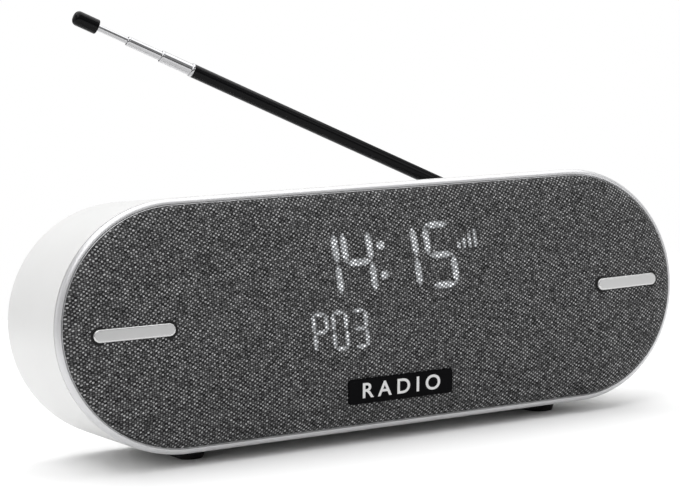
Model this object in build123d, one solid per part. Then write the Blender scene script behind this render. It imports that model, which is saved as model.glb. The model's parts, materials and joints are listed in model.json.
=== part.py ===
from build123d import *
import os
from math import atan2, cos, degrees, hypot, radians, sin, sqrt

# Tabletop stereo radio. A stadium-shaped white housing with a domed cloth front, a silver bezel,
# two bright trim bars, flush push-buttons along the top, two rubber feet and a folding telescopic
# aerial on the back. Millimetres. +Z up, +X to the listener's right, the cloth front faces -Y.
# The origin is on the floor, at the middle of the overall box.

# ---------------------------------------------------------------- driving dimensions
BODY_R = 50.0                    # outer radius of the stadium outline
HALF_RUN = 90.0                  # half the straight length between the two round ends
OPENING_R = 47.3                 # radius of the cloth opening inside the bezel
BODY_DEPTH = 78.5                # front edge of the bezel lip to the rear face
REAR_ROUND = 6.0                 # rounding of the rear edge
WALL = 2.5                       # wall of the housing
FOOT_HEIGHT = 5.0
CENTRE_Z = FOOT_HEIGHT + BODY_R  # height of the outline's centre line above the floor
DOME_RISE = 8.7                  # how far the cloth bulges forward of the bezel lip
CLOTH = 0.6                      # cloth thickness
FIT = 0.1                        # radial gap round pegs and seated pieces

BEZEL_DEPTH = 3.0                # the silver band, from its lip back to the housing seam
SEAM = 0.3
SHELF_DEPTH = 4.2                # ledge inside the bezel that the grille sits on
SKIRT_DEPTH = 10.0               # the bezel's skirt inside the housing

BAR_LENGTH = 32.0
BAR_HEIGHT = 5.2
BAR_THICK = 1.7
BAR_EDGE = 0.7                   # rounding of the bar's front edge
BAR_X = 111.3
BAR_LIFT = 8.1                   # height of the bar's face above the lip plane
BAR_TILT = 6.5                   # how far each bar turns outward with the dome, degrees
BAR_PIN_SPREAD = 10.0

BADGE_SIZE = (47.3, 10.3)
BADGE_DROP = 33.2                # centre of the badge below the centre line
BADGE_THICK = 1.6
BADGE_PROUD = 0.9
BADGE_PIN_SPREAD = 16.0

SPEAKER_X = 84.0
BAFFLE_FRONT = 12.0
BAFFLE_THICK = 3.0
SPEAKER_HOLE_R = 30.5
SPEAKER_FLANGE_R = 36.5
SPEAKER_SCREW_R = 34.0
MAGNET_R = 20.0

DISPLAY_CENTRE = (0.0, 8.5)
DISPLAY_SIZE = (84.0, 52.0)
DIGIT_CENTRES = (-30.5, -15.4, 5.0, 21.8)
DIGIT_SIZE = (13.7, 27.4)
DIGIT_Y = 19.0
DIGIT_STROKE = 2.3
DIGIT_LEAN = 3.0                 # degrees, tops towards -X
COLON_X = -4.9
COLON_RISE = 6.0
NOTE_CENTRES = (-34.5, -26.0, -17.2)
NOTE_SIZE = (7.0, 16.0)
NOTE_Y = -7.5
NOTE_STROKE = 1.3

BUTTON_NAMES = ("power", "mode", "preset", "menu", "previous", "next", "volume_down", "volume_up")
BUTTON_PITCH = 18.0
BUTTON_DEPTH = 38.0              # the row of buttons behind the bezel lip
BUTTON_R = 5.5
BUTTON_FLANGE_R = 6.6
BUTTON_GAP = 0.25
BUTTON_PROUD = 0.15
BUTTON_BOARD_TOP = CENTRE_Z + 40.0
SWITCH_TOP = CENTRE_Z + 43.0

COVER_R = 43.3                   # outline radius of the flat rear cover
COVER_THICK = 2.5
COVER_LEDGE_R = 41.9
REAR_BOSS_RING = 38.0
FRONT_BOSS_RING = 41.5
BOSS_R = 3.4

MAIN_BOARD_DEPTH = 61.0
MAIN_BOARD_SIZE = (120.0, 56.0)
MAIN_BOARD_Y = -6.0
BOARD_THICK = 1.6
SOCKET_Y = -22.0
DC_X = 30.0
DC_HOLE_R = 2.9
DC_PIN_R = 1.0
AUX_X = 10.0
AUX_HOLE_R = 1.8
AUX_HOLE_LENGTH = 14.0
VENT_X = -62.0

FOOT_X = 82.0
FOOT_FRONT = 16.0
FOOT_TOP = (50.0, 13.0)          # length front to back, width
FOOT_TAPER = 20.0

AERIAL_PIVOT = (102.7, 32.4)     # across, and up from the centre line
AERIAL_DEPTH = 83.2              # the mast's axis behind the bezel lip
AERIAL_RISE = 25.9               # angle of the parked mast above level, degrees
SLEEVE_R = 3.05
SLEEVE_BORE_R = 2.65
SLEEVE_START = 8.0
SLEEVE_END = 167.0
LOWER_R = 2.6
LOWER_BORE_R = 2.1
LOWER_LENGTH = 150.0
LOWER_SHOWS = 14.8               # bright length beyond the sleeve as parked
UPPER_R = 2.05
UPPER_BORE_R = 1.45
UPPER_LENGTH = 146.0
UPPER_SHOWS = 16.3
ROD_R = 1.38
ROD_LENGTH = 142.0
ROD_SHOWS = 14.5
CAP_R = 3.25
CAP_LENGTH = 11.2
TURRET_R = 6.4
TURRET_NECK_R = 4.5
KNUCKLE_THICK = 4.0
EAR_THICK = 2.0
EAR_R = 3.0
PIN_R = 1.0

# The inner ends of the trim bars are the foremost points, and the cap of the aerial the rearmost.
FRONT_REACH = (BAR_LIFT + (BAR_LENGTH / 2 - BAR_EDGE) * sin(radians(BAR_TILT))
               + BAR_EDGE * (1 - cos(radians(BAR_TILT))))
OVERALL_DEPTH = FRONT_REACH + AERIAL_DEPTH + CAP_R
FRONT_Y = FRONT_REACH - OVERALL_DEPTH / 2   # world Y of the bezel lip, so the box is centred on Y
BUTTON_Y = FRONT_Y + BUTTON_DEPTH
POST_PLACES = ((-74.5, BUTTON_Y), (-36, BUTTON_Y + 9), (36, BUTTON_Y + 9), (74.5, BUTTON_Y))


# ---------------------------------------------------------------- frames and small helpers
# "Face frame": x across, y up from the centre line, z towards the listener from the bezel lip.
# Depths are given as positive millimetres behind the lip.

def from_face(part):
    """Stand a piece drawn in the face frame up in the world."""
    return Pos(0, FRONT_Y, CENTRE_Z) * Rot(90, 0, 0) * part


def outline(radius):
    """The stadium at one outline radius."""
    return SlotOverall(2 * (HALF_RUN + radius), 2 * radius)


def prism(sketch, front, back):
    """A sketch run straight back between two depths."""
    return Pos(0, 0, -back) * extrude(sketch, back - front)


def slab(radius, front, back):
    return prism(outline(radius), front, back)


def disc(x, y, radius, front, back):
    return prism(Pos(x, y) * Circle(radius), front, back)


def block(x, y, width, height, front, back):
    return prism(Pos(x, y) * Rectangle(width, height), front, back)


def crown(radius, rise, back):
    """The solid under an elliptical dome on the stadium outline, with a straight skirt to a depth."""
    top = EllipticalCenterArc((0, 0), radius, rise, arc_size=180)
    sides = Polyline((-radius, 0), (-radius, -back), (radius, -back), (radius, 0))
    section = make_face([top, sides])
    half = section & Pos(radius, 0) * Rectangle(2 * radius, 4 * (rise + back))
    barrel = extrude(Plane.YZ * section, HALF_RUN, both=True)
    end = revolve(Plane.XZ * half, Axis.Z, 180)
    right = Pos(HALF_RUN, 0, 0) * Rot(0, 0, -90) * end
    left = Pos(-HALF_RUN, 0, 0) * Rot(0, 0, 90) * end
    return barrel + right + left


def dome_height(across):
    """Height of the cloth above the lip plane at a distance from the centre line."""
    return DOME_RISE * sqrt(1 - (across / OPENING_R) ** 2)


def dome_slope(across):
    """Fall of the cloth, in degrees, at a distance from the centre line."""
    rise = DOME_RISE * across / OPENING_R ** 2 / sqrt(1 - (across / OPENING_R) ** 2)
    return degrees(atan2(rise, 1))


def screw(x, y, head_front, length, head_r=2.7, head_thick=1.5, shank_r=1.4):
    """A pan-head screw driven back into the radio, its head starting at one depth."""
    head = disc(x, y, head_r, head_front, head_front + head_thick)
    head = fillet(head.edges().group_by(Axis.Z)[-1], 0.5)
    shank = disc(x, y, shank_r, head_front + head_thick, head_front + length)
    slot = block(x, y, 0.7, 3.2, head_front - 0.1, head_front + 0.7)
    cross = block(x, y, 3.2, 0.7, head_front - 0.1, head_front + 0.7)
    return head + shank - slot - cross


def turned(part, x, y, depth):
    """The same piece facing the back: turned about the upright through a point."""
    return Pos(x, y, -depth) * Rot(0, 180, 0) * Pos(-x, -y, depth) * part


def boss_places(boss_ring):
    """Four places along the straight runs and one at each round end, with the way to the wall."""
    runs = [(x, side * boss_ring, 90 * side) for x in (-45, 45) for side in (-1, 1)]
    ends = [(-HALF_RUN - boss_ring, 0, 180), (HALF_RUN + boss_ring, 0, 0)]
    return runs + ends


def wall_boss(x, y, angle, boss_ring, front, back):
    """A screw boss with a web that joins it to the housing wall."""
    reach = BODY_R - WALL + 0.5 - boss_ring
    web = Pos(x, y) * Rot(0, 0, angle) * Pos(reach / 2, 0) * Rectangle(reach, 2 * BOSS_R - 1.6)
    return disc(x, y, BOSS_R, front, back) + prism(web, front, back)


# ---------------------------------------------------------------- casing
def housing_shell():
    front = BEZEL_DEPTH + SEAM
    shell = slab(BODY_R, front, BODY_DEPTH)
    rear_edges = shell.edges().group_by(Axis.Z)[0]
    shell = fillet(rear_edges, REAR_ROUND)
    cover_front = BODY_DEPTH - COVER_THICK
    shell -= slab(BODY_R - WALL, front - 1, cover_front - 2.2)
    shell -= slab(COVER_LEDGE_R, cover_front - 4, cover_front + 1)
    shell -= slab(COVER_R + 0.2, cover_front, BODY_DEPTH + 1)
    baffle_back = BAFFLE_FRONT + BAFFLE_THICK
    for x, y, angle in boss_places(FRONT_BOSS_RING):
        shell += wall_boss(x, y, angle, FRONT_BOSS_RING, baffle_back, baffle_back + 13)
    for x, y, angle in boss_places(REAR_BOSS_RING):
        shell += wall_boss(x, y, angle, REAR_BOSS_RING, cover_front - 15, cover_front)
    for x, y, _ in boss_places(FRONT_BOSS_RING):
        shell -= disc(x, y, 1.5, baffle_back - 1, baffle_back + 12)
    for x, y, _ in boss_places(REAR_BOSS_RING):
        shell -= disc(x, y, 1.5, cover_front - 12, cover_front + 1)
    shell = from_face(shell)
    shell -= [button_place(i) * Pos(0, 0, -10) * Cylinder(BUTTON_R + BUTTON_GAP, 30)
              for i in range(len(BUTTON_NAMES))]
    shell += [post - Pos(0, 0, -4) * bore for post, bore in button_board_posts()]
    for side in (-1, 1):
        shell -= foot_pegs(side, FIT)
    return shell


def bezel_ring():
    band = slab(BODY_R, 0, BEZEL_DEPTH)
    band = chamfer(band.edges().group_by(Axis.Z)[-1], 2.0, 1.9)
    band += slab(BODY_R - WALL - FIT, BEZEL_DEPTH, SKIRT_DEPTH)
    band -= slab(OPENING_R, -1, SHELF_DEPTH)
    band -= slab(OPENING_R - 3, 0, SHELF_DEPTH + 1.8)
    band -= slab(OPENING_R - 1.4, SHELF_DEPTH + 1.8, SKIRT_DEPTH + 1)
    return from_face(band)


def rear_cover():
    front = BODY_DEPTH - COVER_THICK
    cover = slab(COVER_R, front, BODY_DEPTH)
    for x in (-1, 1):
        for y in (-1, 1):
            place = (x * 54, MAIN_BOARD_Y + y * 23)
            cover += disc(*place, 3.2, MAIN_BOARD_DEPTH + BOARD_THICK, front)
            cover -= disc(*place, 1.1, MAIN_BOARD_DEPTH, front - 2)
    for x, y, _ in boss_places(REAR_BOSS_RING):
        cover -= disc(x, y, 1.7, front - 1, BODY_DEPTH + 1)
        cover -= disc(x, y, 3.1, BODY_DEPTH - 1.7, BODY_DEPTH + 1)
    cover -= disc(*AERIAL_PIVOT, TURRET_NECK_R + 0.08, front - 1, BODY_DEPTH + 1)
    cover -= disc(DC_X, SOCKET_Y, 4.9, front - 1, BODY_DEPTH + 1)
    cover -= disc(AUX_X, SOCKET_Y, 4.0, front - 1, BODY_DEPTH + 1)
    for side in (-1, 1):
        for row in range(9):
            slot = Pos(side * VENT_X, -14 + 3.6 * row) * SlotOverall(34, 1.7)
            cover -= prism(slot, front - 1, BODY_DEPTH + 1)
    return from_face(cover)


def rear_cover_screws():
    return [from_face(turned(screw(x, y, BODY_DEPTH - 0.1, 11), x, y, BODY_DEPTH - 0.1))
            for x, y, _ in boss_places(REAR_BOSS_RING)]


def foot_pegs(side, gap):
    """Two pegs that hold a foot in the housing floor."""
    middle = FRONT_Y + FOOT_FRONT + FOOT_TOP[0] / 2
    pegs = [Pos(side * FOOT_X, middle + along, FOOT_HEIGHT + 2) * Cylinder(2.0 + gap, 8 + 2 * gap)
            for along in (-15, 15)]
    return Part() + pegs


def foot(side):
    middle = FRONT_Y + FOOT_FRONT + FOOT_TOP[0] / 2
    pad = extrude(SlotOverall(*FOOT_TOP), FOOT_HEIGHT, taper=FOOT_TAPER)
    pad = fillet(pad.edges().group_by(Axis.Z)[-1], 0.8)
    standing = Pos(side * FOOT_X, middle, FOOT_HEIGHT) * Rot(0, 0, 90) * Rot(180, 0, 0) * pad
    return standing + foot_pegs(side, 0)


# ---------------------------------------------------------------- front: cloth, grille, trim
def bar_frame(side):
    """The middle of a trim bar's face, turned outward with the dome."""
    return Pos(side * BAR_X, 0, BAR_LIFT) * Rot(0, side * BAR_TILT, 0)


def bar_pins(side, radius):
    pins = [bar_frame(side) * Pos(along, 0, -BAR_THICK - 3) * Cylinder(radius, 6.4)
            for along in (-BAR_PIN_SPREAD, BAR_PIN_SPREAD)]
    return Part() + pins


def trim_bar(side):
    bar = extrude(SlotOverall(BAR_LENGTH, BAR_HEIGHT), -BAR_THICK)
    bar = fillet(bar.edges().group_by(Axis.Z)[-1], BAR_EDGE)
    return from_face(bar_frame(side) * bar + bar_pins(side, 1.0))


def badge_frame():
    """The middle of the badge's face, leaning down with the dome."""
    lift = dome_height(BADGE_DROP) + BADGE_PROUD
    return Pos(0, -BADGE_DROP, lift) * Rot(dome_slope(BADGE_DROP), 0, 0)


def badge_pins(radius):
    pins = [badge_frame() * Pos(along, 0, -BADGE_THICK - 3) * Cylinder(radius, 6.4)
            for along in (-BADGE_PIN_SPREAD, BADGE_PIN_SPREAD)]
    return Part() + pins


def badge_plate():
    plate = extrude(RectangleRounded(*BADGE_SIZE, 1.5), -BADGE_THICK)
    plate = fillet(plate.edges().group_by(Axis.Z)[-1], 0.4)
    return from_face(badge_frame() * plate + badge_pins(1.0))


def trim_seats(gap):
    """What the bars and the badge take out of the cloth and the grille behind it."""
    seats = Part()
    for side in (-1, 1):
        seat = extrude(SlotOverall(BAR_LENGTH + 2 * gap, BAR_HEIGHT + 2 * gap), -BAR_THICK - gap)
        seats += bar_frame(side) * seat
        seats += bar_pins(side, 1.0 + gap)
    badge = extrude(RectangleRounded(BADGE_SIZE[0] + 2 * gap, BADGE_SIZE[1] + 2 * gap, 1.5),
                    -BADGE_THICK - gap)
    return seats + badge_frame() * badge + badge_pins(1.0 + gap)


def grille_fabric():
    radius = OPENING_R - FIT
    cloth = crown(radius, DOME_RISE, SHELF_DEPTH - FIT)
    cloth -= crown(radius - CLOTH, DOME_RISE - CLOTH, SHELF_DEPTH + 1)
    return from_face(cloth - trim_seats(FIT))


def grille_window():
    """The display opening in the grille, as a block through the dome."""
    return block(*DISPLAY_CENTRE, *DISPLAY_SIZE, -20, 0)


def perforations():
    """Rings of round holes over each speaker, left out beside the trim bar's pins."""
    spots = []
    for side in (-1, 1):
        for step in range(5):
            for k in range(max(1, 6 * step)):
                turn = 2 * 180 * k / max(1, 6 * step)
                x = side * SPEAKER_X + 7.2 * step * cos(radians(turn))
                y = 7.2 * step * sin(radians(turn))
                near_bar = abs(y) < 5.6 and abs(x - side * BAR_X) < BAR_LENGTH / 2 + 3
                if not near_bar:
                    spots.append(Pos(x, y) * Circle(2.5))
    return prism(Sketch() + spots, -20, 2)


def grille_frame():
    radius = OPENING_R - FIT - CLOTH - FIT
    rise = DOME_RISE - CLOTH - FIT
    frame = crown(radius, rise, SHELF_DEPTH - FIT)
    frame -= crown(radius - 1.8, rise - 1.8, SHELF_DEPTH + 1)
    frame -= grille_window()
    frame -= perforations()
    return from_face(frame - trim_seats(FIT))


def display_window():
    """A smoked diffuser that fills the grille's window and follows the dome."""
    radius = OPENING_R - FIT - CLOTH - FIT
    rise = DOME_RISE - CLOTH - FIT
    pane = crown(radius, rise, 1) - crown(radius - 1.2, rise - 1.2, 2)
    width, height = DISPLAY_SIZE
    pane &= block(*DISPLAY_CENTRE, width - 2 * FIT, height - 2 * FIT, -20, 0)
    return from_face(pane)


# ---------------------------------------------------------------- display
def stroke(x0, y0, x1, y1, width):
    """One lit segment: a bar with pointed ends between two corners of the figure."""
    length = hypot(x1 - x0, y1 - y0) - 0.35 * width
    turn = degrees(atan2(y1 - y0, x1 - x0))
    half = width / 2
    outline_points = [(-length / 2, 0), (-length / 2 + half, half), (length / 2 - half, half),
                      (length / 2, 0), (length / 2 - half, -half), (-length / 2 + half, -half)]
    bar = make_face(Polyline(outline_points, close=True))
    return Pos((x0 + x1) / 2, (y0 + y1) / 2) * Rot(0, 0, turn) * bar


def figure(centre_x, centre_y, size, width, lean):
    """The seven segments of one figure, leaning with the display."""
    w, h = size[0] / 2 - width / 2, size[1] / 2 - width / 2
    shift = sin(radians(lean))
    corners = [(x, y) for y in (h, 0, -h) for x in (-w, w)]
    leaning = [(centre_x + x - shift * y, centre_y + y) for x, y in corners]
    pairs = [(0, 1), (1, 3), (3, 5), (4, 5), (2, 4), (0, 2), (2, 3)]
    return [stroke(*leaning[a], *leaning[b], width) for a, b in pairs]


def display_shapes():
    """Every segment of the display, lit or not, as flat shapes."""
    shapes = []
    for x in DIGIT_CENTRES:
        shapes += figure(x, DIGIT_Y, DIGIT_SIZE, DIGIT_STROKE, DIGIT_LEAN)
    for x in NOTE_CENTRES:
        shapes += figure(x, NOTE_Y, NOTE_SIZE, NOTE_STROKE, DIGIT_LEAN)
    for side in (-1, 1):
        lean = -side * COLON_RISE * sin(radians(DIGIT_LEAN))
        shapes.append(Pos(COLON_X + lean, DIGIT_Y + side * COLON_RISE) * Circle(1.3))
    return shapes


def display_segments():
    return [from_face(prism(shape, -3.2, -0.2)) for shape in display_shapes()]


def display_reflector():
    width, height = DISPLAY_SIZE
    body = block(*DISPLAY_CENTRE, width - 2, height - 2, -3.1, -0.05)
    return from_face(body - prism(Sketch() + display_shapes(), -4, 0))


def display_posts():
    x, y = DISPLAY_CENTRE
    return [(x + across * 45, y + up * 18) for across in (-1, 1) for up in (-1, 1)]


def display_board():
    board = block(*DISPLAY_CENTRE, DISPLAY_SIZE[0] + 15, DISPLAY_SIZE[1] - 4, 0, BOARD_THICK)
    for place in display_posts():
        board -= disc(*place, 1.6, -1, 3)
    return from_face(board)


def display_screws():
    return [from_face(screw(x, y, -1.5, 10)) for x, y in display_posts()]


# ---------------------------------------------------------------- baffle and speakers
def speaker_screw_places(side):
    reach = SPEAKER_SCREW_R * sin(radians(45))
    return [(side * SPEAKER_X + a * reach, b * reach) for a in (-1, 1) for b in (-1, 1)]


def front_baffle():
    back = BAFFLE_FRONT + BAFFLE_THICK
    baffle = slab(BODY_R - WALL - 0.3, BAFFLE_FRONT, back - 0.05)
    for x, y in display_posts():
        baffle += disc(x, y, 3.0, BOARD_THICK, BAFFLE_FRONT)
        baffle -= disc(x, y, 1.5, 0, BAFFLE_FRONT + 1)
    for side in (-1, 1):
        baffle -= disc(side * SPEAKER_X, 0, SPEAKER_HOLE_R, 0, back + 1)
        for x, y in speaker_screw_places(side):
            baffle -= disc(x, y, 1.5, BAFFLE_FRONT - 1, back + 1)
    for x, y, _ in boss_places(FRONT_BOSS_RING):
        baffle -= disc(x, y, 1.6, BAFFLE_FRONT - 1, back + 1)
    return from_face(baffle)


def baffle_screws():
    return [from_face(screw(x, y, BAFFLE_FRONT - 1.5, 13))
            for x, y, _ in boss_places(FRONT_BOSS_RING)]


def at_speaker(side, part):
    return from_face(Pos(side * SPEAKER_X, 0, 0) * part)


def spun(points):
    """A closed outline of (radius, depth) points turned about the speaker's axis."""
    face = make_face(Polyline([(r, -depth) for r, depth in points], close=True))
    return revolve(Plane.XZ * face, Axis.Z, 360)


def speaker_frame(side):
    face = BAFFLE_FRONT - 1.5
    basket = spun([(27.0, face), (SPEAKER_FLANGE_R, face), (SPEAKER_FLANGE_R, face + 1.45),
                   (30.0, face + 1.45), (30.0, 17), (19.5, 30.5), (19.5, 32), (13.2, 32),
                   (13.2, 30.8), (18.4, 30.8), (28.8, 16.6), (28.8, face + 1.2), (27.0, face + 1.2)])
    window = Pos(24.5, 0, -24) * Box(16, 14, 9)
    basket -= [Rot(0, 0, 60 * k + 30) * window for k in range(6)]
    for x, y in speaker_screw_places(0):
        basket -= disc(x, y, 1.6, face - 1, face + 3)
    return at_speaker(side, basket)


def speaker_magnet(side):
    magnet = spun([(13.5, 32.05), (MAGNET_R, 32.05), (MAGNET_R, 43), (13.5, 43)])
    return at_speaker(side, magnet)


def speaker_yoke(side):
    yoke = spun([(0, 32.4), (11.0, 32.4), (11.0, 43.05), (19.0, 43.05), (19.0, 46), (0, 46)])
    return at_speaker(side, yoke)


def speaker_coil(side):
    coil = spun([(11.6, 21.8), (12.4, 21.8), (12.4, 36), (11.6, 36)])
    return at_speaker(side, coil)


def speaker_cone(side):
    cone = spun([(25.6, 11.4), (26.0, 12.0), (12.5, 21.7), (11.6, 21.7), (11.6, 21.0)])
    return at_speaker(side, cone)


def speaker_dust_cap(side):
    cap = Sphere(15) - Sphere(14.3)
    cap &= Pos(0, 0, 15) * Box(30, 30, 12)
    lowest = cap.bounding_box().min.Z
    widest_depth = 20.4
    return at_speaker(side, Pos(0, 0, -widest_depth - lowest) * cap)


def speaker_surround(side):
    roll = Pos(27.6, 0) * (Circle(1.7) - Circle(1.1))
    roll &= Pos(27.6, 2) * Rectangle(6, 4)
    lip = Pos(26.0, -0.3) * Rectangle(0.9, 0.6)
    surround = revolve(Plane.XZ * (roll + lip), Axis.Z, 360)
    return at_speaker(side, Pos(0, 0, -BAFFLE_FRONT + 1.7) * surround)


def speaker_screws():
    return [from_face(screw(x, y, BAFFLE_FRONT - 3.0, 6.5))
            for side in (-1, 1) for x, y in speaker_screw_places(side)]


# ---------------------------------------------------------------- electronics at the back
def main_board_places():
    return [(across * 54, MAIN_BOARD_Y + up * 23) for across in (-1, 1) for up in (-1, 1)]


def main_board():
    board = block(0, MAIN_BOARD_Y, *MAIN_BOARD_SIZE, MAIN_BOARD_DEPTH, MAIN_BOARD_DEPTH + BOARD_THICK)
    for place in main_board_places():
        board -= disc(*place, 1.6, MAIN_BOARD_DEPTH - 1, MAIN_BOARD_DEPTH + 3)
    return from_face(board)


def main_board_parts():
    """Amplifier and processor chips, two tall capacitors and a ribbon connector."""
    face = MAIN_BOARD_DEPTH - 0.02
    chips = [block(-24, 2, 14, 14, face - 1.4, face), block(6, 6, 10, 16, face - 1.8, face),
             block(30, -4, 12, 9, face - 2.2, face), block(-4, -22, 30, 5, face - 5, face)]
    tall = [disc(x, -20, 4.0, face - 13, face) for x in (28, 38)]
    return [from_face(piece) for piece in chips + tall]


def tuner_can():
    can = block(-40, -20, 22, 20, MAIN_BOARD_DEPTH - 5, MAIN_BOARD_DEPTH - 0.02)
    can = fillet(can.edges().filter_by(Axis.Z), 1.5)
    hollow = block(-40, -20, 21, 19, MAIN_BOARD_DEPTH - 4.5, MAIN_BOARD_DEPTH + 1)
    return from_face(can - hollow)


def main_board_screws():
    return [from_face(screw(x, y, MAIN_BOARD_DEPTH - 1.5, 8, shank_r=1.05))
            for x, y in main_board_places()]


def dc_socket():
    back = BODY_DEPTH - 0.4
    base = MAIN_BOARD_DEPTH + BOARD_THICK + 0.02
    socket = block(DC_X, SOCKET_Y, 11, 11, base, BODY_DEPTH - COVER_THICK - 0.1)
    socket += disc(DC_X, SOCKET_Y, 4.7, base, back)
    socket -= disc(DC_X, SOCKET_Y, DC_HOLE_R, back - 10, back + 1)
    socket += disc(DC_X, SOCKET_Y, DC_PIN_R, back - 10.5, back - 1)
    return from_face(socket)


def aux_socket():
    back = BODY_DEPTH - 0.1
    base = MAIN_BOARD_DEPTH + BOARD_THICK + 0.02
    socket = block(AUX_X, SOCKET_Y, 9, 11, base, BODY_DEPTH - COVER_THICK - 0.1)
    socket += disc(AUX_X, SOCKET_Y, 3.8, base, back)
    socket -= disc(AUX_X, SOCKET_Y, AUX_HOLE_R, back - AUX_HOLE_LENGTH, back + 1)
    return from_face(socket)


# ---------------------------------------------------------------- top controls
def button_place(index):
    """The point on the housing's top face above one button."""
    middle = (len(BUTTON_NAMES) - 1) / 2
    return Pos((index - middle) * BUTTON_PITCH, FRONT_Y + BUTTON_DEPTH, CENTRE_Z + BODY_R)


def button():
    """A dished cap, its retaining flange and the plunger over the switch, from the top face down."""
    travel_room = 0.9
    plunger_end = SWITCH_TOP + travel_room - (CENTRE_Z + BODY_R)
    flange_top = -WALL - 0.3
    cap = Pos(0, 0, (BUTTON_PROUD + flange_top) / 2) * Cylinder(BUTTON_R, BUTTON_PROUD - flange_top)
    cap = chamfer(cap.edges().group_by(Axis.Z)[-1], 0.3)
    cap -= Pos(0, 0, BUTTON_PROUD + 29.6) * Sphere(30)
    flange = Pos(0, 0, flange_top - 0.5) * Cylinder(BUTTON_FLANGE_R, 1.0)
    stem_top = flange_top - 1.0
    stem = Pos(0, 0, (stem_top + plunger_end) / 2) * Cylinder(2.0, stem_top - plunger_end)
    return cap + flange + stem


def button_board_posts():
    """Posts that hang from the top wall, with the holes their screws go in."""
    under = CENTRE_Z + BODY_R - WALL
    length = under - BUTTON_BOARD_TOP
    posts = []
    for x, y in POST_PLACES:
        place = Pos(x, y, under - length / 2)
        post = place * Pos(0, 0, 0.25) * Cylinder(2.6, length + 0.5)
        posts.append((post, place * Cylinder(1.1, length + 4)))
    return posts


def button_board():
    board = Pos(0, FRONT_Y + BUTTON_DEPTH + 2, BUTTON_BOARD_TOP - BOARD_THICK / 2 - 0.02)
    board = board * Box(158, 24, BOARD_THICK)
    return board - [bore for _, bore in button_board_posts()]


def button_switches():
    switches = []
    for index in range(len(BUTTON_NAMES)):
        foot_level = Pos(0, 0, BUTTON_BOARD_TOP - CENTRE_Z - BODY_R)
        case = Pos(0, 0, 1.1) * Box(6, 6, 2.2)
        nub = Pos(0, 0, (2.2 + SWITCH_TOP - BUTTON_BOARD_TOP) / 2)
        nub = nub * Cylinder(1.7, SWITCH_TOP - BUTTON_BOARD_TOP - 2.2)
        switches.append(button_place(index) * foot_level * (case + nub))
    return switches


def button_board_screws():
    screws = []
    for x, y in POST_PLACES:
        place = Pos(x, y, BUTTON_BOARD_TOP)
        body = Pos(0, 0, -BOARD_THICK - 0.85) * Cylinder(2.2, 1.4) + Pos(0, 0, 0.7) * Cylinder(1.05, 5)
        screws.append(place * body)
    return screws


# ---------------------------------------------------------------- telescopic aerial
def on_mast(part):
    """Place a piece drawn along +X from the hinge pin, its pin axis along Y, on the parked mast."""
    place = Pos(AERIAL_PIVOT[0], AERIAL_PIVOT[1], -AERIAL_DEPTH)
    return from_face(place * Rot(0, 0, 180 - AERIAL_RISE) * part)


def tube(start, end, outer, bore):
    """A tube along +X with softly rolled ends."""
    length = end - start
    wall = Cylinder(outer, length)
    wall = fillet(wall.edges().filter_by(GeomType.CIRCLE), 0.15)
    if bore:
        wall -= Cylinder(bore, length + 2)
    return Pos((start + end) / 2, 0, 0) * Rot(0, 90, 0) * wall


def aerial_turret():
    """The swivel base: a neck through the cover, a round flange and the two ears of the fork."""
    flange_back = AERIAL_DEPTH - BODY_DEPTH - 1.3
    neck_front = AERIAL_DEPTH - BODY_DEPTH + COVER_THICK + 0.7
    turret = Pos(0, 0, (neck_front + flange_back) / 2) * Cylinder(TURRET_NECK_R, neck_front - flange_back)
    turret += Pos(0, 0, flange_back + 0.5) * Cylinder(TURRET_R, 1.0)
    for side in (-1, 1):
        middle = side * (KNUCKLE_THICK / 2 + 0.15 + EAR_THICK / 2)
        turret += Pos(0, middle, 0) * Rot(90, 0, 0) * Cylinder(EAR_R, EAR_THICK)
        turret += Pos(0, middle, flange_back / 2) * Box(2 * EAR_R, EAR_THICK, flange_back)
    turret -= Rot(90, 0, 0) * Cylinder(PIN_R, 20)
    turret -= Pos(0, 0, neck_front - 2) * Cylinder(1.3, 4.2)
    return on_mast(turret)


def aerial_screw():
    """The wide-headed screw inside the cover that keeps the turret in its hole."""
    neck_front = AERIAL_DEPTH - BODY_DEPTH + COVER_THICK + 0.7
    head = Pos(0, 0, neck_front + 0.8) * Cylinder(6.5, 1.5)
    shank = Pos(0, 0, neck_front - 1.7) * Cylinder(1.25, 3.5)
    return on_mast(head + shank)


def aerial_hinge_pin():
    length = KNUCKLE_THICK + 0.3 + 2 * EAR_THICK
    return on_mast(Rot(90, 0, 0) * Cylinder(PIN_R - 0.005, length))


def aerial_knuckle():
    """The tongue on the pin, a collar under the sleeve and the plug inside it."""
    tongue = Rot(90, 0, 0) * Cylinder(EAR_R, KNUCKLE_THICK)
    tongue += Pos(3.0, 0, 0) * Box(6.0, KNUCKLE_THICK, 2 * EAR_R - 0.6)
    collar = tube(4.4, SLEEVE_START - 0.02, SLEEVE_R, 0)
    plug = tube(7.0, 14.0, SLEEVE_BORE_R - 0.03, 0)
    return on_mast(tongue + collar + plug - Rot(90, 0, 0) * Cylinder(PIN_R + 0.05, 20))


def aerial_sleeve():
    return on_mast(tube(SLEEVE_START, SLEEVE_END, SLEEVE_R, SLEEVE_BORE_R))


LOWER_END = SLEEVE_END + LOWER_SHOWS
UPPER_END = LOWER_END + UPPER_SHOWS
ROD_END = UPPER_END + ROD_SHOWS


def aerial_lower_tube():
    return on_mast(tube(LOWER_END - LOWER_LENGTH, LOWER_END, LOWER_R, LOWER_BORE_R))


def aerial_upper_tube():
    return on_mast(tube(UPPER_END - UPPER_LENGTH, UPPER_END, UPPER_R, UPPER_BORE_R))


def aerial_rod():
    return on_mast(tube(ROD_END - ROD_LENGTH, ROD_END + 6, ROD_R, 0))


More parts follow.
